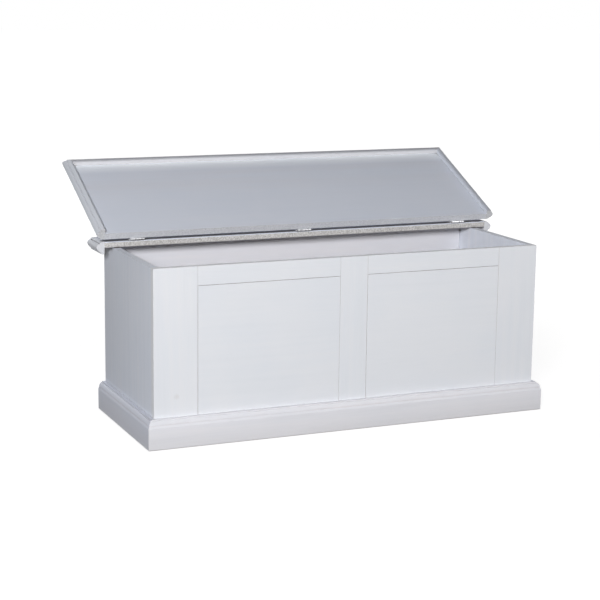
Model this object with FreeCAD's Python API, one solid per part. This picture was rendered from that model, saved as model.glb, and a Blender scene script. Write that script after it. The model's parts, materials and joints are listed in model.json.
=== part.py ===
import FreeCAD, Part
import math
import os

# Blanket chest: a pine carcass with a framed front, an applied plinth, a fixed rear top rail
# and a lipped lid on butt hinges. Millimetres.
# Origin on the floor in the middle of the back face, +X to the right as seen from the front,
# +Y to the back, +Z up. The lid stands open, as it does against its stop.

# Carcass
carcass_width = 1100.0
carcass_depth = 420.0
carcass_height = 460.0
side_thickness = 18.0
back_thickness = 18.0
front_thickness = 18.0

# Framed front
outer_stile_width = 117.0
centre_stile_width = 78.0
top_rail_height = 49.3
bottom_rail_height = 68.0
groove_width = 6.0
groove_depth = 10.0
panel_thickness = 14.0
panel_setback = 0.3
panel_gap = 0.75
panel_shift = 0.35
panel_arris = 0.2
shoulder_gap = 0.5

# Bottom boards and the cleats that carry them
bottom_board_count = 8
bottom_thickness = 12.0
bottom_clearance = 0.5
board_tongue_length = 5.0
board_tongue_thickness = 4.0
board_vee = 1.5
cleat_width = 22.0
cleat_height = 30.0
cleat_level = 20.0

# Plinth section
plinth_thickness = 21.0
plinth_height = 77.0
plinth_foot_arris = 1.5
plinth_fascia_height = 56.5
plinth_bevel_width = 2.3
plinth_bevel_height = 6.0
plinth_groove = 0.8
plinth_groove_height = 2.0
plinth_bulge = 0.9
plinth_quirk = 2.8
plinth_cap_width = 10.0
plinth_cap_height = 2.7

# Lid, rear top rail and their edge moulding
top_thickness = 18.0
rear_rail_depth = 89.0
rear_rail_arris = 4.0
rear_rail_end_gap = 25.0
lid_rear_gap = 3.0
lid_front_gap = 20.0
lid_side_gap = 26.0
lid_seat = 0.3
lid_open_angle = 155.3
lip_drop = 16.0
moulding_width = 22.0
moulding_cap_flat = 3.0
moulding_cap_width = 13.0
moulding_cap_fall = 2.2
moulding_cap_bulge = 0.4
moulding_cap_height = 4.2
moulding_groove = 1.2
moulding_groove_height = 1.0
moulding_quirk = 1.2
moulding_nose_level = 14.3
moulding_foot_width = 13.0
moulding_foot_rise = 5.5
moulding_foot_bulge = 1.4
moulding_foot_crown = 4.5
moulding_crown_bulge = 1.3
moulding_bulge = 1.7
moulding_lower_bulge = 1.2

# Butt hinges
hinge_length = 40.0
hinge_inset = 65.0
knuckle_count = 5
knuckle_radius = 3.0
knuckle_gap = 0.3
leaf_thickness = 1.2
leaf_width = 17.0
pin_radius = 1.25
pin_clearance = 0.05
hinge_screw_pitch = 14.0
hinge_screw_inset = 10.5
hinge_screw_head_radius = 2.75
hinge_screw_radius = 1.5
hinge_screw_length = 15.0

# Screws and dowels in the carcass
screw_head_radius = 3.5
screw_head_height = 2.2
screw_radius = 1.75
screw_bite = 12.0
screw_tip = 3.0
recess_width = 0.9
recess_depth = 0.8
plinth_screw_level = 10.0
cleat_screw_level = 10.0
side_screw_inset = 90.0
dowel_radius = 4.0
dowel_short_end = 10.0
dowel_long_end = 25.0
dowel_first_level = 110.0
dowel_pitch = 120.0
dowels_per_corner = 3
rail_dowel_spread = 40.0
rail_dowel_pitch = 260.0
rail_dowels_in_back = 4
glue_fit = 0.1
screw_fit = 0.05

# Faces that several pieces share
half_width = carcass_width / 2
inner_half_width = half_width - side_thickness
front_face = -carcass_depth
front_inner_face = front_face + front_thickness
back_inner_face = -back_thickness
opening_outer = half_width - outer_stile_width
opening_inner = centre_stile_width / 2
opening_centre = (opening_outer + opening_inner) / 2
panel_bottom = bottom_rail_height
panel_top = carcass_height - top_rail_height
groove_front = front_face + (front_thickness - groove_width) / 2
groove_back = groove_front + groove_width
cleat_top = cleat_level + cleat_height
bottom_top = cleat_top + bottom_thickness
rail_front = -rear_rail_depth
rail_top = carcass_height + top_thickness
rail_half_width = half_width + rear_rail_end_gap
top_half_width = half_width + lid_side_gap
top_outer_half_width = top_half_width + moulding_width
lid_front = front_face - lid_front_gap
lid_outer_front = lid_front - moulding_width
lid_under = carcass_height + lid_seat
lid_top = lid_under + top_thickness
lid_rear = rail_front - lid_rear_gap
hinge_y = rail_front - lid_rear_gap / 2
hinge_z = lid_top + knuckle_radius
plinth_outer_half_width = half_width + plinth_thickness
plinth_outer_front = front_face - plinth_thickness

os.makedirs("parts", exist_ok=True)

X_AXIS = FreeCAD.Vector(1, 0, 0)
Y_AXIS = FreeCAD.Vector(0, 1, 0)
Z_AXIS = FreeCAD.Vector(0, 0, 1)


def point(x, y, z):
    return FreeCAD.Vector(x, y, z)


def box(x_range, y_range, z_range):
    size = [high - low for low, high in (x_range, y_range, z_range)]
    return Part.makeBox(*size, point(x_range[0], y_range[0], z_range[0]))


def mirrored(low, high, side):
    """A range on the right, or its mirror image on the left."""
    return (low, high) if side > 0 else (-high, -low)


def extruded(edges, run):
    return Part.Face(Part.Wire(edges)).extrude(run)


def polygon_prism(corners, run):
    return Part.Face(Part.makePolygon(corners + corners[:1])).extrude(run)


def joined(first, others):
    return first.fuse(others).removeSplitter()


def save(name, shape):
    shape.exportStep("parts/" + name + ".step")


def bulged_arc(start, end, bulge, place):
    """An arc from start to end in a section, standing out from its chord by bulge."""
    run = (end[0] - start[0], end[1] - start[1])
    chord = math.hypot(*run)
    middle = (
        (start[0] + end[0]) / 2 + run[1] / chord * bulge,
        (start[1] + end[1]) / 2 - run[0] / chord * bulge,
    )
    return Part.Arc(place(*start), place(*middle), place(*end)).toShape()


def section_edges(stations, place):
    """Edges round a closed section. Each station is (point, bulge of the edge that follows it)."""
    edges = []
    for index, (start, bulge) in enumerate(stations):
        end = stations[(index + 1) % len(stations)][0]
        if bulge:
            edges.append(bulged_arc(start, end, bulge, place))
        else:
            edges.append(Part.LineSegment(place(*start), place(*end)).toShape())
    return edges


def screw_body(head_radius, radius, head_height, length, grow=0.0):
    """A countersunk wood screw along +Z with its head's face at the origin."""
    tip_start = length - screw_tip
    head = Part.makeCone(head_radius + grow, radius + grow, head_height)
    shank = Part.makeCylinder(radius + grow, tip_start, point(0, 0, 0), Z_AXIS)
    tip = Part.makeCone(radius + grow, 0, screw_tip, point(0, 0, tip_start), Z_AXIS)
    return joined(head, [shank, tip])


def recessed(screw, head_radius):
    """Cross recess in a screw's head."""
    arm = (-head_radius / 2, head_radius / 2)
    slot = (-recess_width / 2, recess_width / 2)
    depth = (0, recess_depth)
    return screw.cut([box(arm, slot, depth), box(slot, arm, depth)])


def placed(shape, place, direction):
    copy = shape.copy()
    copy.Placement = FreeCAD.Placement(place, FreeCAD.Rotation(Z_AXIS, direction))
    return copy


def screws_and_holes(places, direction, sizes):
    """Screws driven in one direction, and the slightly larger holes that they fill."""
    screw = recessed(screw_body(*sizes), sizes[0])
    hole = screw_body(*sizes, grow=screw_fit)
    screws = [placed(screw, place, direction) for place in places]
    holes = [placed(hole, place, direction) for place in places]
    return screws, holes


def dowels_and_holes(seams, direction):
    """Dowels across a seam, with the short end against the direction, and their holes."""
    dowels = []
    holes = []
    length = dowel_short_end + dowel_long_end
    for seam in seams:
        start = seam - direction * dowel_short_end
        dowels.append(Part.makeCylinder(dowel_radius, length, start, direction))
        hole_start = start - direction * glue_fit
        hole_length = length + 2 * glue_fit
        holes.append(Part.makeCylinder(dowel_radius + glue_fit, hole_length, hole_start, direction))
    return dowels, holes


def wood_screw_sizes(through):
    return screw_head_radius, screw_radius, screw_head_height, through + screw_bite


# Screws in the plinth, the cleats and the bottom
front_screw_columns = [
    -(opening_outer + outer_stile_width / 2),
    -opening_centre,
    0.0,
    opening_centre,
    opening_outer + outer_stile_width / 2,
]
side_screw_rows = [front_face + side_screw_inset, -side_screw_inset]
cleat_screw_height = cleat_level + cleat_screw_level

plinth_front_screws, plinth_front_holes = screws_and_holes(
    [point(x, front_inner_face, plinth_screw_level) for x in front_screw_columns],
    -Y_AXIS,
    wood_screw_sizes(front_thickness),
)
cleat_front_screws, cleat_front_holes = screws_and_holes(
    [point(x, front_inner_face + cleat_width, cleat_screw_height) for x in front_screw_columns],
    -Y_AXIS,
    wood_screw_sizes(cleat_width),
)
cleat_back_screws, cleat_back_holes = screws_and_holes(
    [point(x, back_inner_face - cleat_width, cleat_screw_height) for x in front_screw_columns],
    Y_AXIS,
    wood_screw_sizes(cleat_width),
)
plinth_screws = list(plinth_front_screws)
cleat_screws = cleat_front_screws + cleat_back_screws
plinth_side_holes = {}
cleat_side_holes = {}
for side in (-1, 1):
    outward = X_AXIS * side
    screws, plinth_side_holes[side] = screws_and_holes(
        [point(side * inner_half_width, y, plinth_screw_level) for y in side_screw_rows],
        outward,
        wood_screw_sizes(side_thickness),
    )
    plinth_screws += screws
    screws, cleat_side_holes[side] = screws_and_holes(
        [point(side * (inner_half_width - cleat_width), y, cleat_screw_height) for y in side_screw_rows],
        outward,
        wood_screw_sizes(cleat_width),
    )
    cleat_screws += screws

bottom_half_width = inner_half_width - bottom_clearance
bottom_board_width = 2 * bottom_half_width / bottom_board_count
bottom_screw_columns = [
    -bottom_half_width + (index + 0.5) * bottom_board_width for index in range(bottom_board_count)
]
bottom_screw_rows = [front_inner_face + cleat_width / 2, back_inner_face - cleat_width / 2]
bottom_screws, bottom_holes = screws_and_holes(
    [point(x, y, bottom_top) for x in bottom_screw_columns for y in bottom_screw_rows],
    -Z_AXIS,
    wood_screw_sizes(bottom_thickness),
)

# Dowels between front, sides, back and rear top rail
dowel_levels = [dowel_first_level + index * dowel_pitch for index in range(dowels_per_corner)]
side_middle = inner_half_width + side_thickness / 2
carcass_dowels = []
front_dowel_holes = {}
back_dowel_holes = {}
rail_dowels = []
rail_side_holes = {}
for side in (-1, 1):
    dowels, front_dowel_holes[side] = dowels_and_holes(
        [point(side * side_middle, front_inner_face, level) for level in dowel_levels], Y_AXIS
    )
    carcass_dowels += dowels
    dowels, back_dowel_holes[side] = dowels_and_holes(
        [point(side * inner_half_width, -back_thickness / 2, level) for level in dowel_levels],
        X_AXIS * -side,
    )
    carcass_dowels += dowels
    dowels, rail_side_holes[side] = dowels_and_holes(
        [
            point(side * side_middle, (rail_front - back_thickness + shift) / 2, carcass_height)
            for shift in (-rail_dowel_spread, rail_dowel_spread)
        ],
        -Z_AXIS,
    )
    rail_dowels += dowels
rail_dowel_first = -(rail_dowels_in_back - 1) * rail_dowel_pitch / 2
dowels, rail_back_holes = dowels_and_holes(
    [
        point(rail_dowel_first + index * rail_dowel_pitch, -back_thickness / 2, carcass_height)
        for index in range(rail_dowels_in_back)
    ],
    -Z_AXIS,
)
rail_dowels += dowels


def front_stile(x_range, grooved_edges):
    """An upright of the front, grooved along the edges that face a panel."""
    stile = box(x_range, (front_face, front_inner_face), (0, carcass_height))
    cuts = plinth_front_holes + cleat_front_holes + front_dowel_holes[-1] + front_dowel_holes[1]
    for edge in grooved_edges:
        cuts.append(
            box(
                (edge - groove_depth, edge + groove_depth),
                (groove_front, groove_back),
                (0, carcass_height),
            )
        )
    return stile.cut(cuts)


def front_rail(x_range, z_range, grooved_edge):
    """A rail of the front, tongued into the stiles and grooved along the panel's edge."""
    tongue_reach = groove_depth - glue_fit
    tongue_x = (x_range[0] - tongue_reach, x_range[1] + tongue_reach)
    tongue_y = (groove_front + glue_fit, groove_back - glue_fit)
    shoulders = (x_range[0] + shoulder_gap, x_range[1] - shoulder_gap)
    rail = joined(
        box(shoulders, (front_face, front_inner_face), z_range),
        [box(tongue_x, tongue_y, z_range)],
    )
    groove = box(
        tongue_x,
        (groove_front, groove_back),
        (grooved_edge - groove_depth, grooved_edge + groove_depth),
    )
    return rail.cut([groove] + plinth_front_holes + cleat_front_holes)


def front_panel(x_range):
    """An almost flush panel, tongued into the frame and settled in it to the right and down."""
    face_y = front_face + panel_setback
    body = box(
        (x_range[0] + panel_gap, x_range[1] - panel_gap),
        (face_y, face_y + panel_thickness),
        (panel_bottom + panel_gap, panel_top - panel_gap),
    )
    rim = [edge for edge in body.Edges if edge.BoundBox.YMax < face_y + panel_arris]
    body = body.makeChamfer(panel_arris, rim)
    reach = groove_depth - glue_fit - panel_shift
    tongue = box(
        (x_range[0] - reach, x_range[1] + reach),
        (groove_front + glue_fit, groove_back - glue_fit),
        (panel_bottom - reach, panel_top + reach),
    )
    panel = joined(body, [tongue])
    panel.translate(point(panel_shift, 0, -panel_shift))
    return panel


def front_frame():
    save("front_left_stile", front_stile((-half_width, -opening_outer), [-opening_outer]))
    save("front_centre_stile", front_stile((-opening_inner, opening_inner), [-opening_inner, opening_inner]))
    save("front_right_stile", front_stile((opening_outer, half_width), [opening_outer]))
    for side, name in ((-1, "left"), (1, "right")):
        x_range = mirrored(opening_inner, opening_outer, side)
        save("front_" + name + "_top_rail", front_rail(x_range, (panel_top, carcass_height), panel_top))
        save("front_" + name + "_bottom_rail", front_rail(x_range, (0, panel_bottom), panel_bottom))
        save("front_" + name + "_panel", front_panel(x_range))


def sides_and_back():
    for side, name in ((-1, "left"), (1, "right")):
        panel = box(
            mirrored(inner_half_width, half_width, side),
            (front_inner_face, 0),
            (0, carcass_height),
        )
        holes = front_dowel_holes[side] + back_dowel_holes[side] + rail_side_holes[side]
        holes += plinth_side_holes[side] + cleat_side_holes[side]
        save(name + "_side", panel.cut(holes))
    back = box(
        (-inner_half_width, inner_half_width),
        (back_inner_face, 0),
        (0, carcass_height),
    )
    holes = back_dowel_holes[-1] + back_dowel_holes[1] + rail_back_holes + cleat_back_holes
    save("back_panel", back.cut(holes))


def bottom_board(index):
    """One tongued and grooved board, running from front to back."""
    left = -bottom_half_width + index * bottom_board_width
    right = left + bottom_board_width
    tongue_low = cleat_top + (bottom_thickness - board_tongue_thickness) / 2
    tongue_high = tongue_low + board_tongue_thickness
    corners = [(left, cleat_top), (right, cleat_top)]
    if index < bottom_board_count - 1:
        tip = right + board_tongue_length
        corners += [(right, tongue_low), (tip, tongue_low), (tip, tongue_high), (right, tongue_high)]
    corners += [(right, bottom_top - board_vee), (right - board_vee, bottom_top)]
    corners += [(left + board_vee, bottom_top), (left, bottom_top - board_vee)]
    if index > 0:
        seat = left + board_tongue_length + glue_fit
        high = tongue_high + glue_fit
        low = tongue_low - glue_fit
        corners += [(left, high), (seat, high), (seat, low), (left, low)]
    front_end = front_inner_face + bottom_clearance
    run = Y_AXIS * (back_inner_face - bottom_clearance - front_end)
    board = polygon_prism([point(x, front_end, z) for x, z in corners], run)
    return board.cut(bottom_holes)


def bottom():
    for index in range(bottom_board_count):
        save("bottom_board_" + str(index + 1), bottom_board(index))
    levels = (cleat_level, cleat_top)
    long_run = (-inner_half_width, inner_half_width)
    front_edge = front_inner_face + cleat_width
    back_edge = back_inner_face - cleat_width
    front_cleat = box(long_run, (front_inner_face, front_edge), levels)
    save("front_cleat", front_cleat.cut(cleat_front_holes + bottom_holes))
    back_cleat = box(long_run, (back_edge, back_inner_face), levels)
    save("back_cleat", back_cleat.cut(cleat_back_holes + bottom_holes))
    for side, name in ((-1, "left"), (1, "right")):
        x_range = mirrored(inner_half_width - cleat_width, inner_half_width, side)
        cleat = box(x_range, (front_edge, back_edge), levels)
        save(name + "_cleat", cleat.cut(cleat_side_holes[side]))


def plinth_section(place):
    """Plinth section: fascia with an eased foot, a bevel, a groove, an ovolo and a cap."""
    bevel_out = plinth_thickness - plinth_bevel_width
    bevel_top = plinth_fascia_height + plinth_bevel_height
    ovolo_low = bevel_top + plinth_groove_height
    cap_low = plinth_height - plinth_cap_height
    stations = [
        ((0, 0), 0),
        ((plinth_thickness - plinth_foot_arris, 0), 0),
        ((plinth_thickness, plinth_foot_arris), 0),
        ((plinth_thickness, plinth_fascia_height), 0),
        ((bevel_out, bevel_top), 0),
        ((bevel_out - plinth_groove, bevel_top), 0),
        ((bevel_out - plinth_groove, ovolo_low), 0),
        ((bevel_out, ovolo_low), plinth_bulge),
        ((plinth_cap_width + plinth_quirk, cap_low), 0),
        ((plinth_cap_width, cap_low), 0),
        ((plinth_cap_width, plinth_height), 0),
        ((0, plinth_height), 0),
    ]
    return section_edges(stations, place)


def moulding_section(place):
    """Edge moulding section, outwards from its inner face and downwards from the top."""
    foot = top_thickness + lip_drop
    foot_edge = foot - moulding_foot_rise
    quirk_level = foot_edge - moulding_quirk
    foot_groove = quirk_level - moulding_groove_height
    groove_low = moulding_cap_height + moulding_groove_height
    stations = [
        ((0, 0), 0),
        ((moulding_cap_flat, 0), moulding_cap_bulge),
        ((moulding_cap_width, moulding_cap_fall), 0),
        ((moulding_cap_width, moulding_cap_height), 0),
        ((moulding_cap_width - moulding_groove, moulding_cap_height), 0),
        ((moulding_cap_width - moulding_groove, groove_low), 0),
        ((moulding_cap_width + moulding_quirk, groove_low), moulding_bulge),
        ((moulding_width, moulding_nose_level), moulding_lower_bulge),
        ((moulding_foot_width + moulding_quirk, foot_groove), 0),
        ((moulding_foot_width - moulding_groove, foot_groove), 0),
        ((moulding_foot_width - moulding_groove, quirk_level), 0),
        ((moulding_foot_width, quirk_level), 0),
        ((moulding_foot_width, foot_edge), moulding_foot_bulge),
        ((moulding_foot_crown, foot), moulding_crown_bulge),
        ((0, foot - moulding_foot_crown), 0),
    ]
    return section_edges(stations, place)


def corner_prism(corners, z_range):
    run = Z_AXIS * (z_range[1] - z_range[0])
    return polygon_prism([point(x, y, z_range[0]) for x, y in corners], run)


def mitred_front(section, inner, outer, z_range):
    """A section run along the front, mitred at both ends. Corners are (half width, front)."""
    edges = section(lambda out, level: point(-outer[0], inner[1] - out, level))
    run = extruded(edges, X_AXIS * (2 * outer[0]))
    cuts = []
    for side in (-1, 1):
        corners = [
            (side * outer[0], outer[1]),
            (side * inner[0], inner[1]),
            (side * outer[0], inner[1]),
        ]
        cuts.append(corner_prism(corners, z_range))
    return run.cut(cuts)


def mitred_side(section, inner, outer, rear, side, z_range):
    """A section run along one side from the front mitre to a square rear end."""
    edges = section(lambda out, level: point(side * (inner[0] + out), outer[1], level))
    run = extruded(edges, Y_AXIS * (rear - outer[1]))
    corners = [
        (side * outer[0], outer[1]),
        (side * inner[0], inner[1]),
        (side * inner[0], outer[1]),
    ]
    return run.cut(corner_prism(corners, z_range))


def plinth():
    inner = (half_width, front_face)
    outer = (plinth_outer_half_width, plinth_outer_front)
    z_range = (0, plinth_height)
    front = mitred_front(plinth_section, inner, outer, z_range)
    save("plinth_front", front.cut(plinth_front_holes))
    for side, name in ((-1, "left"), (1, "right")):
        run = mitred_side(plinth_section, inner, outer, 0, side, z_range)
        save("plinth_" + name, run.cut(plinth_side_holes[side]))


def hinge_screw_places(centre, side, leaf_top):
    y = hinge_y + side * hinge_screw_inset
    return [point(centre + step * hinge_screw_pitch, y, leaf_top) for step in (-1, 0, 1)]


hinge_centres = {
    "left": -(half_width - hinge_inset),
    "centre": 0.0,
    "right": half_width - hinge_inset,
}
hinge_screw_sizes = (hinge_screw_head_radius, hinge_screw_radius, leaf_thickness, hinge_screw_length)
rail_hinge_screws, rail_hinge_holes = screws_and_holes(
    [place for x in hinge_centres.values() for place in hinge_screw_places(x, 1, rail_top + leaf_thickness)],
    -Z_AXIS,
    hinge_screw_sizes,
)
lid_hinge_screws, lid_hinge_holes = screws_and_holes(
    [place for x in hinge_centres.values() for place in hinge_screw_places(x, -1, lid_top + leaf_thickness)],
    -Z_AXIS,
    hinge_screw_sizes,
)


def hinge_leaf(centre, side, face_level, first_knuckle, holes):
    """A leaf on a top face behind (1) or before (-1) the pin, with every second knuckle."""
    start = centre - hinge_length / 2
    levels = (face_level, face_level + leaf_thickness)
    plate_edge = hinge_y + side * (knuckle_radius + knuckle_gap)
    plate_y = sorted((plate_edge, hinge_y + side * leaf_width))
    neck_y = sorted((plate_edge, hinge_y))
    plate = box((start, start + hinge_length), plate_y, levels)
    step = hinge_length / knuckle_count
    knuckles = []
    for index in range(first_knuckle, knuckle_count, 2):
        low = start + index * step + knuckle_gap / 2
        high = low + step - knuckle_gap
        knuckles.append(box((low, high), neck_y, levels))
        knuckles.append(Part.makeCylinder(knuckle_radius, high - low, point(low, hinge_y, hinge_z), X_AXIS))
    bore_start = point(start, hinge_y, hinge_z)
    bore = Part.makeCylinder(pin_radius + pin_clearance, hinge_length, bore_start, X_AXIS)
    return joined(plate, knuckles).cut([bore] + holes)


def opened(shape):
    """A piece of the lid, modelled shut, turned about the hinge pins to its open rest."""
    copy = shape.copy()
    copy.rotate(point(0, hinge_y, hinge_z), X_AXIS, -lid_open_angle)
    return copy


def hinges():
    for name, centre in hinge_centres.items():
        rail_leaf = hinge_leaf(centre, 1, rail_top, 0, rail_hinge_holes)
        save("hinge_" + name + "_rail_leaf", rail_leaf)
        lid_leaf = hinge_leaf(centre, -1, lid_top, 1, lid_hinge_holes)
        save("hinge_" + name + "_lid_leaf", opened(lid_leaf))
        pin_start = point(centre - hinge_length / 2, hinge_y, hinge_z)
        save("hinge_" + name + "_pin", Part.makeCylinder(pin_radius, hinge_length, pin_start, X_AXIS))


def rear_top_rail():
    rail = box((-rail_half_width, rail_half_width), (rail_front, 0), (carcass_height, rail_top))
    long_edges = [edge for edge in rail.Edges if edge.BoundBox.XLength > rear_rail_depth]
    arrises = [edge for edge in long_edges if edge.CenterOfMass.y < -rear_rail_depth / 2]
    rail = rail.makeFillet(rear_rail_arris, arrises)
    holes = rail_side_holes[-1] + rail_side_holes[1] + rail_back_holes + rail_hinge_holes
    save("rear_rail", rail.cut(holes))
    for side, name in ((-1, "left"), (1, "right")):
        edges = moulding_section(
            lambda out, drop: point(side * (rail_half_width + out), rail_front, rail_top - drop)
        )
        save("rear_rail_" + name + "_moulding", extruded(edges, Y_AXIS * rear_rail_depth))


def lid():
    panel = box((-top_half_width, top_half_width), (lid_front, lid_rear), (lid_under, lid_top))
    save("lid_panel", opened(panel.cut(lid_hinge_holes)))
    inner = (top_half_width, lid_front)
    outer = (top_outer_half_width, lid_outer_front)
    z_range = (lid_under - lip_drop, lid_top)

    def hung_section(place):
        return moulding_section(lambda out, drop: place(out, lid_top - drop))

    save("lid_front_moulding", opened(mitred_front(hung_section, inner, outer, z_range)))
    for side, name in ((-1, "left"), (1, "right")):
        run = mitred_side(hung_section, inner, outer, lid_rear, side, z_range)
        save("lid_" + name + "_moulding", opened(run))


def fasteners():
    save("plinth_screws", Part.makeCompound(plinth_screws))
    save("cleat_screws", Part.makeCompound(cleat_screws))
    save("bottom_screws", Part.makeCompound(bottom_screws))
    save("carcass_dowels", Part.makeCompound(carcass_dowels))
    save("rear_rail_dowels", Part.makeCompound(rail_dowels))
    save("rail_hinge_screws", Part.makeCompound(rail_hinge_screws))
    save("lid_hinge_screws", opened(Part.makeCompound(lid_hinge_screws)))


front_frame()
sides_and_back()
bottom()
plinth()
rear_top_rail()
lid()
hinges()
fasteners()
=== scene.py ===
import json
import math
from collections import namedtuple

import bpy
from mathutils import Matrix, Vector


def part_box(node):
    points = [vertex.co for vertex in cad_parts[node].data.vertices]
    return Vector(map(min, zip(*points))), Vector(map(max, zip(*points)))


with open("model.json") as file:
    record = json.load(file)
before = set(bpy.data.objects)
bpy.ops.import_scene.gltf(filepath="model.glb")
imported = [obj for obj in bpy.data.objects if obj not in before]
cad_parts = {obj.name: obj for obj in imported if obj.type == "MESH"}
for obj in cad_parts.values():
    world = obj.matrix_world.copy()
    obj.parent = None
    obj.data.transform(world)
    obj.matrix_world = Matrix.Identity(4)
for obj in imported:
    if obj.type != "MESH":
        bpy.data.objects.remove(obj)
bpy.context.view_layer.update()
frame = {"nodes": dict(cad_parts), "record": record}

nodes = frame["nodes"]

# Settings of a noise texture
Pattern = namedtuple("Pattern", "scale detail roughness distortion", defaults=(0.0,))

# Texture places of one piece, as grain_coordinates gives them, and two noises along its grain
Wood = namedtuple("Wood", "place flat run fibre streak")

# A round patch of another colour
Stain = namedtuple("Stain", "centre radius colour share")

# The faces that look one way, or all but those, by the cosines that facing takes
Faces = namedtuple("Faces", "normal limits")

# How far rough wood shows on the faces that look one way
Sawn = namedtuple("Sawn", "normal amount")

# Paint that changes along a direction, from start to end, to shares of its colour; all but the warm lip
# are painted light and shade
ColourRamp = namedtuple("ColourRamp", "along start end shares faces", defaults=(None,))

# Linear colours of the paint, of the wood beneath it, of marks and painted shade on it, and of the steel
PAINT = (0.785, 0.802, 0.842)
PAINT_COOL = (0.765, 0.789, 0.836)
PAINT_THIN = (0.775, 0.772, 0.792)
SMUDGE = (0.700, 0.660, 0.680)
KNOT = (0.600, 0.570, 0.560)
WORN_WOOD = (0.480, 0.370, 0.320)
# Darker paint next to the floor, and painted shade in shallow grooves
DARKENING = (0.450, 0.415, 0.385)
# Painted shade: near black, laid into deep gaps and as the rail end's shadow on the left side
PAINTED_SHADE = (0.090, 0.075, 0.066)
EDGE_PALE = (0.660, 0.640, 0.610)
EDGE_DARK = (0.330, 0.310, 0.280)
PINE_PALE = (0.700, 0.530, 0.360)
PINE_DARK = (0.500, 0.330, 0.190)
STEEL_PALE = (0.880, 0.885, 0.895)
STEEL_DARK = (0.480, 0.480, 0.500)
STEEL_GRIME = (0.160, 0.150, 0.150)

# White with its alpha, and a tint that changes nothing
WHITE = (1.0, 1.0, 1.0, 1.0)
NO_TINT = (1.0, 1.0, 1.0)

# Noise patterns, with their scale in features per metre
FIBRE = Pattern(620.0, 3.0, 0.6)
STREAK = Pattern(55.0, 3.0, 0.55, 0.3)
CLOUD = Pattern(6.0, 2.0, 0.5)
SMUDGES = Pattern(14.0, 3.0, 0.6, 0.5)
CHIPS = Pattern(330.0, 3.0, 0.65)
PINE_RING = Pattern(90.0, 3.0, 0.55, 0.8)
PINE_FIBRE = Pattern(700.0, 3.0, 0.6)
STEEL_SCRATCH = Pattern(2600.0, 3.0, 0.6)
STEEL_SPOT = Pattern(150.0, 2.0, 0.5)

# Stretch of the coordinates for grain that runs along one axis of the part's frame
ALONG = {"x": (0.04, 1.0, 1.0), "y": (1.0, 0.04, 1.0), "z": (1.0, 1.0, 0.04)}

# Shift of the pattern from one piece to the next, in metres, starting again at a limit
PIECE_SHIFT = (0.731, 1.317, 2.113)
SHIFT_LIMIT = 5.0

# Ranges of the noise values and what the paint does over them, as shares of its brightness
CLOUD_RANGE = (0.35, 0.65)
STREAK_RANGE = (0.30, 0.70)
STREAK_SHADE = 0.022
STREAK_LIFT = 0.012
FIBRE_RANGE = (0.25, 0.75)
FIBRE_SHADE = 0.012
FIBRE_LIFT = 0.010
THIN_RANGE = (0.50, 0.75)
THIN_SHARE = 0.35
SMUDGE_RANGE = (0.52, 0.74)

# Darker paint next to the floor, between two heights in metres, and the waver of its upper edge
FLOOR_DARK_LEVELS = (0.055, 0.002)
FLOOR_DARK_WAVER = 0.006

# Knots and stains: their full core and the waver of their edge, as shares of the radius
STAIN_CORE = 0.3
STAIN_WAVER = 0.2
STAIN_FIBRE_RANGE = (0.2, 0.8)

# Paint rubbed off the arrises and dirt in joints, and painted shade in shallow grooves and in deep gaps,
# reaching in metres
ARRIS_RADIUS = 0.0014
ARRIS_SAMPLES = 6
ARRIS_RANGE = (0.995, 0.86)
RUBBED_RANGE = (0.40, 0.62)
RUBBED_SHARES = (0.05, 0.28)
JOINT_REACH = 0.004
JOINT_SAMPLES = 6
JOINT_RANGE = (0.40, 0.12)
JOINT_SHARE = 0.60
GROOVE_RANGE = (0.94, 0.70)
GAP_REACH = 0.030
GAP_SAMPLES = 8
GAP_RANGE = (0.56, 0.33)

# Surface of the paint and of sawn faces: roughness, heights of the grain, and (depth, strength) of bumps
PAINT_ROUGHNESS = (0.52, 0.66)
FIBRE_HEIGHT = 0.6
STREAK_HEIGHT = 0.8
PAINT_BUMP = (0.00025, 0.35)
PAINT_SPECULAR = 0.2
CHIP_RANGE = (0.36, 0.60)
CHIP_HEIGHT = 1.5
SAWN_ROUGHNESS = 0.2

# Bare pine
RING_RANGE = (0.35, 0.65)
PINE_FIBRE_RANGE = (0.3, 0.7)
PINE_FIBRE_SHARE = 0.18
PINE_ROUGHNESS = (0.60, 0.75)
PINE_BUMP = (0.0003, 0.4)
PINE_SPECULAR = 0.3

# Steel, dull in spots and dirty in the joints of the knuckles
SPOT_RANGE = (0.48, 0.62)
SPOT_ROUGHNESS = 0.15
SCRATCH_RANGE = (0.3, 0.7)
STEEL_ROUGHNESS = (0.24, 0.38)
STEEL_BUMP = (0.00004, 0.3)
STEEL_SPECULAR = 0.5
KNUCKLE_REACH = 0.0016
KNUCKLE_SAMPLES = 8
KNUCKLE_RANGE = (0.90, 0.50)
KNUCKLE_SHARE = 0.9

# Cosines between a face's normal and a direction at which the face starts to count, and counts fully
SAME_WAY = (0.90, 0.97)
NOT_THAT_WAY = (0.25, 0.05)


def opaque(colour, tint=NO_TINT):
    return tuple(part * share for part, share in zip(colour, tint)) + (1.0,)


def plug(tree, socket, value):
    if isinstance(value, bpy.types.NodeSocket):
        tree.links.new(value, socket)
    else:
        socket.default_value = value


def add(tree, kind, inputs=None, settings=None):
    made = tree.nodes.new(kind)
    for key, value in (settings or {}).items():
        setattr(made, key, value)
    for key, value in (inputs or {}).items():
        plug(tree, made.inputs[key], value)
    return made


def calc(tree, operation, first, second):
    return add(tree, "ShaderNodeMath", {0: first, 1: second}, {"operation": operation}).outputs[0]


def measure(tree, operation, first, second):
    """A number worked out from two vectors."""
    made = add(tree, "ShaderNodeVectorMath", {0: first, 1: second}, {"operation": operation})
    return made.outputs["Value"]


def span(tree, value, limits, results=(0.0, 1.0)):
    """Maps a value between two limits to two results, held at both ends."""
    inputs = {"From Min": limits[0], "From Max": limits[1], "To Min": results[0], "To Max": results[1]}
    return add(tree, "ShaderNodeMapRange", {"Value": value, **inputs}).outputs["Result"]


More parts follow.
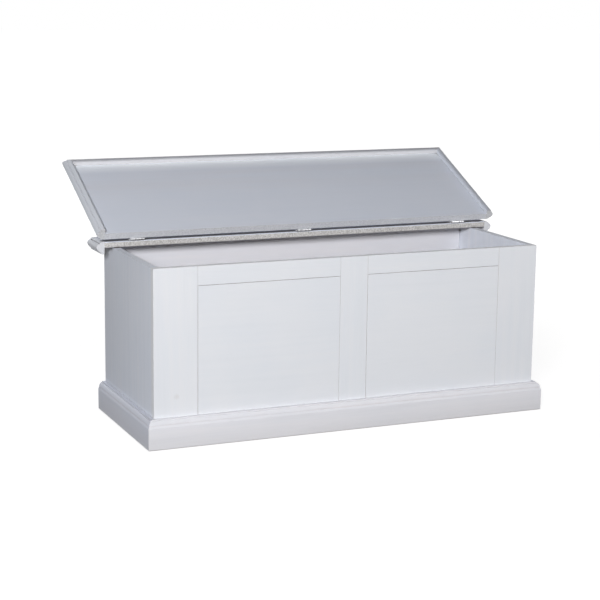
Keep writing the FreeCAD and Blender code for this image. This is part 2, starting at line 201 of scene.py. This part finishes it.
def mix(tree, factor, first, second, blend="MIX"):
    made = add(tree, "ShaderNodeMix", None, {"data_type": "RGBA", "blend_type": blend})
    plug(tree, made.inputs["Factor"], factor)
    colours = [socket for socket in made.inputs if socket.type == "RGBA"]
    plug(tree, colours[0], first)
    plug(tree, colours[1], second)
    return [socket for socket in made.outputs if socket.type == "RGBA"][0]


def grey(tree, value):
    return add(tree, "ShaderNodeCombineColor", {0: value, 1: value, 2: value}).outputs[0]


def noise(tree, coordinates, pattern):
    settings = {
        "Scale": pattern.scale,
        "Detail": pattern.detail,
        "Roughness": pattern.roughness,
        "Distortion": pattern.distortion,
    }
    return add(tree, "ShaderNodeTexNoise", {"Vector": coordinates, **settings}).outputs["Fac"]


def shelter(tree, reach, samples):
    """1 in the open, towards 0 where other faces are close."""
    made = add(tree, "ShaderNodeAmbientOcclusion", {"Distance": reach}, {"samples": samples})
    return made.outputs["AO"]


def bump(tree, height, depth, strength):
    settings = {"Distance": depth, "Strength": strength}
    return add(tree, "ShaderNodeBump", {"Height": height, **settings}).outputs["Normal"]


def start_material(name):
    material = bpy.data.materials.new(name)
    material.use_nodes = True
    material.node_tree.nodes.clear()
    return material, material.node_tree


def end_material(tree, colour, roughness, normal, metallic, specular):
    inputs = {"Base Color": colour, "Roughness": roughness, "Normal": normal}
    constants = {"Metallic": metallic, "Specular IOR Level": specular}
    shader = add(tree, "ShaderNodeBsdfPrincipled", {**inputs, **constants})
    add(tree, "ShaderNodeOutputMaterial", {"Surface": shader.outputs["BSDF"]})


def grain_coordinates(tree, grain, seed):
    """Texture places: as they are, shifted for this piece, and shifted and drawn out along the grain."""
    place = add(tree, "ShaderNodeTexCoord")
    shift = tuple(seed * step % SHIFT_LIMIT for step in PIECE_SHIFT)
    moved = add(tree, "ShaderNodeMapping", {"Vector": place.outputs["Object"], "Location": shift})
    drawn = add(tree, "ShaderNodeMapping", {"Vector": moved.outputs["Vector"], "Scale": ALONG[grain]})
    return place, moved.outputs["Vector"], drawn.outputs["Vector"]


def facing(tree, place, normal, limits=SAME_WAY):
    """
    1 on the faces of a piece that look along a direction of the part's frame, else 0. With
    NOT_THAT_WAY as limits it is 1 on all other faces.
    """
    return span(tree, measure(tree, "DOT_PRODUCT", place.outputs["Normal"], normal), limits)


def paint_colour(tree, wood, tint, streaks):
    """Thin white paint, with the grain showing through it."""
    cloud = noise(tree, wood.flat, CLOUD)
    colour = mix(tree, span(tree, cloud, CLOUD_RANGE), opaque(PAINT_COOL, tint), opaque(PAINT, tint))
    thin = span(tree, wood.streak, THIN_RANGE, (0.0, THIN_SHARE * streaks))
    colour = mix(tree, thin, colour, opaque(PAINT_THIN, tint))
    broad_shades = (1.0 - STREAK_SHADE * streaks, 1.0 + STREAK_LIFT * streaks)
    fine_shades = (-FIBRE_SHADE * streaks, FIBRE_LIFT * streaks)
    broad = span(tree, wood.streak, STREAK_RANGE, broad_shades)
    fine = span(tree, wood.fibre, FIBRE_RANGE, fine_shades)
    return mix(tree, 1.0, colour, grey(tree, calc(tree, "ADD", broad, fine)), "MULTIPLY")


def smudged(tree, colour, wood, amount):
    smudge = span(tree, noise(tree, wood.run, SMUDGES), SMUDGE_RANGE, (0.0, amount))
    return mix(tree, smudge, colour, opaque(SMUDGE))


def darkened_near_floor(tree, colour, wood, amount):
    """Paint that darkens towards the floor, fading with the height above it."""
    level = add(tree, "ShaderNodeSeparateXYZ", {0: wood.place.outputs["Object"]}).outputs["Z"]
    waver = span(tree, wood.streak, STREAK_RANGE, (-FLOOR_DARK_WAVER, FLOOR_DARK_WAVER))
    near_floor = span(tree, calc(tree, "ADD", level, waver), FLOOR_DARK_LEVELS, (0.0, amount))
    return mix(tree, near_floor, colour, opaque(DARKENING))


def stained(tree, colour, wood, stain):
    """A knot, or a painted shadow, as a round patch with an edge that wavers along the grain."""
    away = measure(tree, "DISTANCE", wood.place.outputs["Object"], stain.centre)
    waver = STAIN_WAVER * stain.radius
    away = calc(tree, "ADD", away, span(tree, wood.fibre, STAIN_FIBRE_RANGE, (-waver, waver)))
    share = span(tree, away, (stain.radius, STAIN_CORE * stain.radius), (0.0, stain.share))
    return mix(tree, share, colour, opaque(stain.colour))


def worn(tree, colour, wood, grooves):
    """Wood that shows faintly on rubbed arrises and in joints, and painted shade in shallow grooves."""
    rounded = add(tree, "ShaderNodeBevel", {"Radius": ARRIS_RADIUS}, {"samples": ARRIS_SAMPLES})
    surface = add(tree, "ShaderNodeNewGeometry")
    flatness = measure(tree, "DOT_PRODUCT", rounded.outputs["Normal"], surface.outputs["True Normal"])
    patches = span(tree, wood.streak, RUBBED_RANGE, RUBBED_SHARES)
    rubbed = calc(tree, "MULTIPLY", span(tree, flatness, ARRIS_RANGE), patches)
    colour = mix(tree, rubbed, colour, opaque(WORN_WOOD))
    openness = shelter(tree, JOINT_REACH, JOINT_SAMPLES)
    colour = mix(tree, span(tree, openness, JOINT_RANGE, (0.0, JOINT_SHARE)), colour, opaque(WORN_WOOD))
    # Painted shade: darker paint in shallow grooves, where less light reaches
    if grooves:
        colour = mix(tree, span(tree, openness, GROOVE_RANGE, (0.0, grooves)), colour, opaque(DARKENING))
    return colour


def sawn_faces(tree, colour, rough, height, wood, sawn):
    """Colour, roughness and height with rough, speckled wood on the faces that look one way."""
    edge = facing(tree, wood.place, sawn.normal)
    chip = noise(tree, wood.flat, CHIPS)
    speckle = mix(tree, span(tree, chip, CHIP_RANGE), opaque(EDGE_DARK), opaque(EDGE_PALE))
    colour = mix(tree, calc(tree, "MULTIPLY", edge, sawn.amount), colour, speckle)
    rough = calc(tree, "ADD", rough, calc(tree, "MULTIPLY", edge, SAWN_ROUGHNESS))
    chips = calc(tree, "MULTIPLY", calc(tree, "MULTIPLY", chip, edge), CHIP_HEIGHT)
    return colour, rough, calc(tree, "ADD", height, chips)


def ramped(tree, colour, wood, ramp):
    """Paint that changes to shares of its colour along a direction, on all faces or on some."""
    place = measure(tree, "DOT_PRODUCT", wood.place.outputs["Object"], ramp.along)
    share = span(tree, place, (ramp.start, ramp.end))
    if ramp.faces:
        share = calc(tree, "MULTIPLY", share, facing(tree, wood.place, *ramp.faces))
    return mix(tree, share, colour, opaque(ramp.shares), "MULTIPLY")


# Painted shade in deep gaps: the paint turns towards near black where other faces come within a few
# centimetres
def gap_shaded(tree, colour, amount):
    depth = span(tree, shelter(tree, GAP_REACH, GAP_SAMPLES), GAP_RANGE, (0.0, amount))
    return mix(tree, depth, colour, opaque(PAINTED_SHADE))


def pine_colour(tree, run):
    ring = noise(tree, run, PINE_RING)
    fibre = noise(tree, run, PINE_FIBRE)
    colour = mix(tree, span(tree, ring, RING_RANGE), opaque(PINE_PALE), opaque(PINE_DARK))
    dark = span(tree, fibre, PINE_FIBRE_RANGE, (0.0, PINE_FIBRE_SHARE))
    return mix(tree, dark, colour, opaque(PINE_DARK)), ring, fibre


def painted_wood(
    name,
    seed,
    grain,
    tint=NO_TINT,
    streaks=1.0,
    smudges=0.0,
    floor_darkening=0.0,
    stains=(),
    grooves=0.0,
    sawn=None,
    bare=None,
    ramps=(),
    gap_shade=0.0,
    specular=PAINT_SPECULAR,
):
    """
    Thin white paint on pine. The amounts scale how far the grain, smears, the darkening next to
    the floor, and the painted shade in shallow grooves and in deep gaps show. bare is the direction
    in which faces without paint look.
    """
    material, tree = start_material(name)
    place, flat, run = grain_coordinates(tree, grain, seed)
    wood = Wood(place, flat, run, noise(tree, run, FIBRE), noise(tree, run, STREAK))
    colour = paint_colour(tree, wood, tint, streaks)
    if smudges:
        colour = smudged(tree, colour, wood, smudges)
    if floor_darkening:
        colour = darkened_near_floor(tree, colour, wood, floor_darkening)
    for stain in stains:
        colour = stained(tree, colour, wood, stain)
    colour = worn(tree, colour, wood, grooves)
    rough = span(tree, wood.streak, STREAK_RANGE, PAINT_ROUGHNESS)
    fibres = calc(tree, "MULTIPLY", wood.fibre, FIBRE_HEIGHT)
    height = calc(tree, "ADD", fibres, calc(tree, "MULTIPLY", wood.streak, STREAK_HEIGHT))
    if sawn:
        colour, rough, height = sawn_faces(tree, colour, rough, height, wood, sawn)
    if bare:
        colour = mix(tree, facing(tree, place, bare), colour, pine_colour(tree, run)[0])
    for ramp in ramps:
        colour = ramped(tree, colour, wood, ramp)
    if gap_shade:
        colour = gap_shaded(tree, colour, gap_shade)
    normal = bump(tree, height, *PAINT_BUMP)
    end_material(tree, colour, rough, normal, metallic=0.0, specular=specular)
    return material


def bare_pine(name, seed, grain):
    material, tree = start_material(name)
    run = grain_coordinates(tree, grain, seed)[2]
    colour, ring, fibre = pine_colour(tree, run)
    rough = span(tree, fibre, PINE_FIBRE_RANGE, PINE_ROUGHNESS)
    normal = bump(tree, calc(tree, "ADD", fibre, ring), *PINE_BUMP)
    end_material(tree, colour, rough, normal, metallic=0.0, specular=PINE_SPECULAR)
    return material


def bright_steel(name):
    material, tree = start_material(name)
    place = add(tree, "ShaderNodeTexCoord").outputs["Object"]
    drawn = add(tree, "ShaderNodeMapping", {"Vector": place, "Scale": ALONG["x"]})
    scratch = noise(tree, drawn.outputs["Vector"], STEEL_SCRATCH)
    spot = noise(tree, place, STEEL_SPOT)
    colour = mix(tree, span(tree, spot, SPOT_RANGE), opaque(STEEL_PALE), opaque(STEEL_DARK))
    openness = shelter(tree, KNUCKLE_REACH, KNUCKLE_SAMPLES)
    dirt = span(tree, openness, KNUCKLE_RANGE, (0.0, KNUCKLE_SHARE))
    colour = mix(tree, dirt, colour, opaque(STEEL_GRIME))
    rough = span(tree, scratch, SCRATCH_RANGE, STEEL_ROUGHNESS)
    rough = calc(tree, "ADD", rough, span(tree, spot, SPOT_RANGE, (0.0, SPOT_ROUGHNESS)))
    normal = bump(tree, scratch, *STEEL_BUMP)
    end_material(tree, colour, rough, normal, metallic=1.0, specular=STEEL_SPECULAR)
    return material


def give(node, material):
    nodes[node].data.materials.clear()
    nodes[node].data.materials.append(material)


# Directions in the part's frame, those of the lid as it stands open
UP = (0.0, 0.0, 1.0)
DOWN = (0.0, 0.0, -1.0)
TO_FRONT = (0.0, -1.0, 0.0)
TO_BACK = (0.0, 1.0, 0.0)
TO_RIGHT = (1.0, 0.0, 0.0)
lid_turn = math.radians(frame["record"]["behaviour"]["joints"][0]["range_deg"][1])
LID_REAR = (0.0, math.cos(lid_turn), -math.sin(lid_turn))
LID_FRONT = (0.0, -math.cos(lid_turn), math.sin(lid_turn))
LID_INSIDE = (0.0, -math.sin(lid_turn), -math.cos(lid_turn))

# Places on the chest, from the solids
lid_corners = [vertex.co for vertex in nodes["lid_panel"].data.vertices]
lid_front_edge = max(corner.dot(Vector(LID_FRONT)) for corner in lid_corners)
lid_inner_face = max(corner.dot(Vector(LID_INSIDE)) for corner in lid_corners)
front_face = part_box("front_left_stile")[0].y
left_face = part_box("left_side")[0].x
wall_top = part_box("left_side")[1].z
plinth_left_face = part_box("plinth_left")[0].x
plinth_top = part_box("plinth_left")[1].z

# A knot low on the left stile, and a painted shadow of the rail's end moulding on the left side beneath
# it
KNOT_FROM_LEFT = 0.061
KNOT_HEIGHT = 0.129
KNOT_RADIUS = 0.009
KNOT_SHARE = 0.30
SHADOW_FROM_BACK = 0.006
SHADOW_BELOW_TOP = 0.003
SHADOW_RADIUS = 0.030
SHADOW_SHARE = 0.9
knot_centre = (left_face + KNOT_FROM_LEFT, front_face, KNOT_HEIGHT)
shadow_centre = (left_face, -SHADOW_FROM_BACK, wall_top - SHADOW_BELOW_TOP)
stile_knot = Stain(knot_centre, KNOT_RADIUS, KNOT, KNOT_SHARE)
rail_end_shadow = Stain(shadow_centre, SHADOW_RADIUS, PAINTED_SHADE, SHADOW_SHARE)

# Tints of the paint on single pieces, mostly painted light and shade: lighter, darker, cooler and warmer
# copies of the one paint for how the light falls on each piece
PANEL_TINT = (0.995, 0.995, 0.995)
LEFT_SIDE_TINT = (0.964, 0.990, 1.046)
RIGHT_SIDE_TINT = (1.065, 1.085, 1.135)
INSIDE_TINT = (1.005, 0.980, 0.988)
PLINTH_TINT = (0.990, 0.970, 0.975)
PLINTH_SIDE_TINT = (0.832, 0.845, 0.906)
RAIL_END_TINT = (0.940, 0.950, 0.975)
LID_TINT = (0.928, 0.955, 1.022)
LID_FRONT_TINT = (0.980, 0.975, 0.975)
LID_END_TINT = (0.880, 0.895, 0.925)

# Painted light and shade: lighter tops of the walls, and a left side painted darker to the rear and with
# a painted highlight just above the plinth
TOP_LIGHT = (1.150, 1.150, 1.150)
SIDE_REAR = (0.860, 0.860, 0.860)
FOOT_LIGHT = (1.110, 1.110, 1.110)
FOOT_FADE = 0.010
FOOT_FULL = 0.002
painted_top_light = ColourRamp(UP, 0.0, wall_top, TOP_LIGHT, Faces(UP, SAME_WAY))
painted_rear_shade = ColourRamp(TO_BACK, front_face, 0.0, SIDE_REAR)
painted_foot_highlight = ColourRamp(DOWN, -plinth_top - FOOT_FADE, -plinth_top - FOOT_FULL, FOOT_LIGHT)

# Painted shade along the lower arris of the rear rail, between two heights above the walls
RAIL_FOOT_DARK = (0.420, 0.390, 0.380)
RAIL_FOOT_FADE = 0.0040
RAIL_FOOT_FULL = 0.0015
painted_rail_foot_shade = ColourRamp(DOWN, -wall_top - RAIL_FOOT_FADE, -wall_top - RAIL_FOOT_FULL, RAIL_FOOT_DARK)

# Painted light on the lid's underside next to the lip, for light the lip throws back onto it, a warmer
# lip, and painted shade along the foot of the front and right lips
LIP_LIGHT = (1.320, 1.300, 1.220)
LIP_LIGHT_FADE = 0.048
LIP_LIGHT_FULL = 0.004
LIP_WARM = (0.945, 0.925, 0.912)
LIP_WARM_FADE = 0.001
LIP_DARK = (0.470, 0.480, 0.500)
END_LIP_DARK = (0.600, 0.600, 0.620)
LIP_DARK_FADE = 0.0085
LIP_DARK_FULL = 0.0145
lip_faces = Faces(LID_FRONT, NOT_THAT_WAY)
end_lip_faces = Faces(TO_RIGHT, NOT_THAT_WAY)
lip_fade = lid_inner_face + LIP_DARK_FADE
lip_full = lid_inner_face + LIP_DARK_FULL
painted_lip_glow = ColourRamp(LID_FRONT, lid_front_edge - LIP_LIGHT_FADE, lid_front_edge - LIP_LIGHT_FULL, LIP_LIGHT)
warm_wash = ColourRamp(LID_INSIDE, lid_inner_face - LIP_WARM_FADE, lid_inner_face, LIP_WARM, lip_faces)
painted_lip_foot_shade = ColourRamp(LID_INSIDE, lip_fade, lip_full, LIP_DARK, lip_faces)
painted_end_lip_shade = ColourRamp(LID_INSIDE, lip_fade, lip_full, END_LIP_DARK, end_lip_faces)

# In these finishes the amounts for deep gaps and shallow grooves are painted shade, and the ramps are
# painted light and shade except the warm lip
# Finishes that several pieces share
WALL_TOP = Sawn(UP, 0.05)
LID_BACK_EDGE = Sawn(LID_REAR, 0.45)
STILE = {"grain": "z", "sawn": WALL_TOP, "ramps": [painted_top_light]}
TOP_RAIL = {"grain": "x", "sawn": WALL_TOP, "ramps": [painted_top_light]}
BOTTOM_RAIL = {"grain": "x"}
PANEL = {"grain": "x", "tint": PANEL_TINT, "streaks": 0.6}
SIDE = {"grain": "z", "streaks": 2.0, "sawn": WALL_TOP, "gap_shade": 1.0}
PLINTH = {"streaks": 1.2, "floor_darkening": 0.20}
PLINTH_SIDE = {**PLINTH, "grain": "y", "tint": PLINTH_SIDE_TINT, "grooves": 0.10}
RAIL_END = {"grain": "y", "tint": RAIL_END_TINT, "sawn": Sawn(TO_FRONT, 0.30), "gap_shade": 0.9}
LID_END = {"grain": "y", "tint": LID_END_TINT, "sawn": LID_BACK_EDGE}

# Finish of each painted piece
painted = {
    "front_left_stile": {**STILE, "stains": [stile_knot]},
    "front_centre_stile": STILE,
    "front_right_stile": STILE,
    "front_left_top_rail": TOP_RAIL,
    "front_right_top_rail": TOP_RAIL,
    "front_left_bottom_rail": BOTTOM_RAIL,
    "front_right_bottom_rail": BOTTOM_RAIL,
    "front_left_panel": PANEL,
    "front_right_panel": PANEL,
    "left_side": {
        **SIDE,
        "tint": LEFT_SIDE_TINT,
        "ramps": [painted_rear_shade, painted_top_light, painted_foot_highlight],
        "stains": [rail_end_shadow],
    },
    "right_side": {**SIDE, "tint": RIGHT_SIDE_TINT},
    "back_panel": {"grain": "x", "tint": INSIDE_TINT, "sawn": WALL_TOP},
    "plinth_front": {**PLINTH, "grain": "x", "tint": PLINTH_TINT, "grooves": 0.04},
    "plinth_left": PLINTH_SIDE,
    "plinth_right": PLINTH_SIDE,
    "rear_rail": {
        "grain": "x",
        "tint": LID_TINT,
        "sawn": Sawn(TO_FRONT, 0.85),
        "bare": DOWN,
        "ramps": [painted_rail_foot_shade],
        "gap_shade": 0.9,
        "specular": 0.0,
    },
    "rear_rail_left_moulding": RAIL_END,
    "rear_rail_right_moulding": RAIL_END,
    "lid_panel": {
        "grain": "x",
        "tint": LID_TINT,
        "streaks": 0.6,
        "smudges": 0.15,
        "sawn": LID_BACK_EDGE,
        "ramps": [painted_lip_glow],
        "gap_shade": 0.9,
    },
    "lid_front_moulding": {"grain": "x", "tint": LID_FRONT_TINT, "ramps": [warm_wash, painted_lip_foot_shade]},
    "lid_left_moulding": LID_END,
    "lid_right_moulding": {**LID_END, "ramps": [painted_end_lip_shade]},
}
for node in nodes:
    if node.startswith("bottom_board_"):
        painted[node] = {"grain": "y", "tint": INSIDE_TINT}
for seed, (node, finish) in enumerate(painted.items(), start=1):
    give(node, painted_wood("paint_" + node, seed, **finish))

# Grain of each unpainted piece
pine_grain = {
    "front_cleat": "x",
    "back_cleat": "x",
    "left_cleat": "y",
    "right_cleat": "y",
    "carcass_dowels": "z",
    "rear_rail_dowels": "z",
}
for seed, (node, grain) in enumerate(pine_grain.items(), start=1):
    give(node, bare_pine("pine_" + node, seed, grain))

steel = bright_steel("bright_steel")
for node in nodes:
    if node.startswith("hinge_") or node.endswith("_screws"):
        give(node, steel)


def place_in_scene(name, data):
    made = bpy.data.objects.new(name, data)
    bpy.context.scene.collection.objects.link(made)
    return made


def seen_directly(tree):
    """1 for rays that show the backdrop, straight or in metal and glass, else 0."""
    path = add(tree, "ShaderNodeLightPath")
    seen = calc(tree, "MAXIMUM", path.outputs["Is Camera Ray"], path.outputs["Is Glossy Ray"])
    return calc(tree, "MAXIMUM", seen, path.outputs["Is Transmission Ray"])


# Floor: half its width, its grey to bounced light, and how white it looks near and far from the chest
FLOOR_REACH = 30.0
FLOOR_GREY = (0.25, 0.25, 0.25, 1.0)
FLOOR_FADE = (0.9, 2.4)
FLOOR_WHITENESS = (0.88, 1.0)

# Shade where the plinth meets the floor: fainter on the left, which the key light reaches
CONTACT_REACH = 0.007
CONTACT_SAMPLES = 8
CONTACT_RANGE = (0.55, 0.85)
CONTACT_LEFT = 0.90
CONTACT_FRONT = 0.68


def floor_material():
    """Reads white to the camera and keeps the chest's shadow."""
    material, tree = start_material("pale_floor")
    ground = add(tree, "ShaderNodeTexCoord").outputs["Object"]
    distance = add(tree, "ShaderNodeVectorMath", {0: ground}, {"operation": "LENGTH"}).outputs["Value"]
    far_white = span(tree, distance, FLOOR_FADE, FLOOR_WHITENESS)
    whiteness = calc(tree, "MULTIPLY", seen_directly(tree), far_white)
    across = add(tree, "ShaderNodeSeparateXYZ", {0: ground}).outputs["X"]
    contact = span(tree, across, (plinth_left_face, left_face), (CONTACT_LEFT, CONTACT_FRONT))
    openness = shelter(tree, CONTACT_REACH, CONTACT_SAMPLES)
    whiteness = calc(tree, "MULTIPLY", whiteness, span(tree, openness, CONTACT_RANGE, (contact, 1.0)))
    diffuse = add(tree, "ShaderNodeBsdfDiffuse", {"Color": FLOOR_GREY})
    glow = add(tree, "ShaderNodeEmission", {"Color": WHITE, "Strength": whiteness})
    both = add(tree, "ShaderNodeAddShader", {0: diffuse.outputs["BSDF"], 1: glow.outputs["Emission"]})
    add(tree, "ShaderNodeOutputMaterial", {"Surface": both.outputs["Shader"]})
    return material


floor_mesh = bpy.data.meshes.new("floor")
floor_corners = [
    (-FLOOR_REACH, -FLOOR_REACH, 0.0),
    (FLOOR_REACH, -FLOOR_REACH, 0.0),
    (FLOOR_REACH, FLOOR_REACH, 0.0),
    (-FLOOR_REACH, FLOOR_REACH, 0.0),
]
floor_mesh.from_pydata(floor_corners, [], [(0, 1, 2, 3)])
floor = place_in_scene("floor", floor_mesh)
floor_mesh.materials.append(floor_material())

# Dim, slightly warm light from all round
AMBIENT = 0.040
AMBIENT_COLOUR = (1.10, 1.00, 0.90, 1.0)


def make_world():
    """White where the backdrop is seen, and the dim light for everything else."""
    world = bpy.data.worlds.new("studio")
    bpy.context.scene.world = world
    world.use_nodes = True
    tree = world.node_tree
    tree.nodes.clear()
    dim = add(tree, "ShaderNodeBackground", {"Color": AMBIENT_COLOUR, "Strength": AMBIENT})
    white = add(tree, "ShaderNodeBackground", {"Color": WHITE, "Strength": 1.0})
    sources = {1: dim.outputs["Background"], 2: white.outputs["Background"]}
    either = add(tree, "ShaderNodeMixShader", {0: seen_directly(tree), **sources})
    add(tree, "ShaderNodeOutputWorld", {"Surface": either.outputs["Shader"]})


make_world()


def direction(azimuth, elevation):
    """Unit vector from the object towards a place; azimuth 0 is the front, 90 the right."""
    turn = math.radians(azimuth)
    rise = math.radians(elevation)
    return Vector((math.sin(turn) * math.cos(rise), -math.cos(turn) * math.cos(rise), math.sin(rise)))


# Middle of the chest, at which the lamps point
LAMP_TARGET = Vector((0.0, -0.2, 0.3))


def soft_light(name, azimuth, elevation, distance, size, power):
    light = bpy.data.lights.new(name, "AREA")
    light.shape = "SQUARE"
    light.size = size
    light.energy = power
    made = place_in_scene(name, light)
    away = direction(azimuth, elevation)
    made.location = LAMP_TARGET + away * distance
    made.rotation_euler = away.to_track_quat("Z", "Y").to_euler()


soft_light("key", azimuth=-33.0, elevation=19.0, distance=5.6, size=1.1, power=262.0)
soft_light("front_fill", azimuth=38.0, elevation=13.0, distance=2.5, size=0.8, power=7.4)
soft_light("rear_fill", azimuth=180.0, elevation=31.0, distance=6.0, size=2.0, power=55.0)
soft_light("back_fill", azimuth=112.0, elevation=3.0, distance=6.0, size=2.0, power=180.0)
soft_light("rear_low", azimuth=186.0, elevation=3.0, distance=6.0, size=2.0, power=85.0)

# Camera at the photograph's place: fitted angles in degrees, distance in metres, lens and sensor in mm
AZIMUTH = -23.5453
ELEVATION = 11.2781
ROLL = 0.7191
DISTANCE = 4.38999
TARGET = Vector((-0.05768, -0.200, 0.30712))
LENS = 96.578
SENSOR = 36.0


def make_camera():
    data = bpy.data.cameras.new("camera")
    data.sensor_width = SENSOR
    data.lens = LENS
    camera = place_in_scene("camera", data)
    back = direction(AZIMUTH, ELEVATION)
    turn = math.radians(AZIMUTH)
    right = Vector((math.cos(turn), math.sin(turn), 0.0))
    up = back.cross(right)
    roll = math.radians(ROLL)
    turned_right = right * math.cos(roll) + up * math.sin(roll)
    turned_up = up * math.cos(roll) - right * math.sin(roll)
    axes = Matrix((turned_right, turned_up, back)).transposed().to_4x4()
    camera.matrix_world = Matrix.Translation(TARGET + back * DISTANCE) @ axes
    bpy.context.scene.camera = camera


make_camera()

bpy.context.scene.view_settings.view_transform = "Standard"
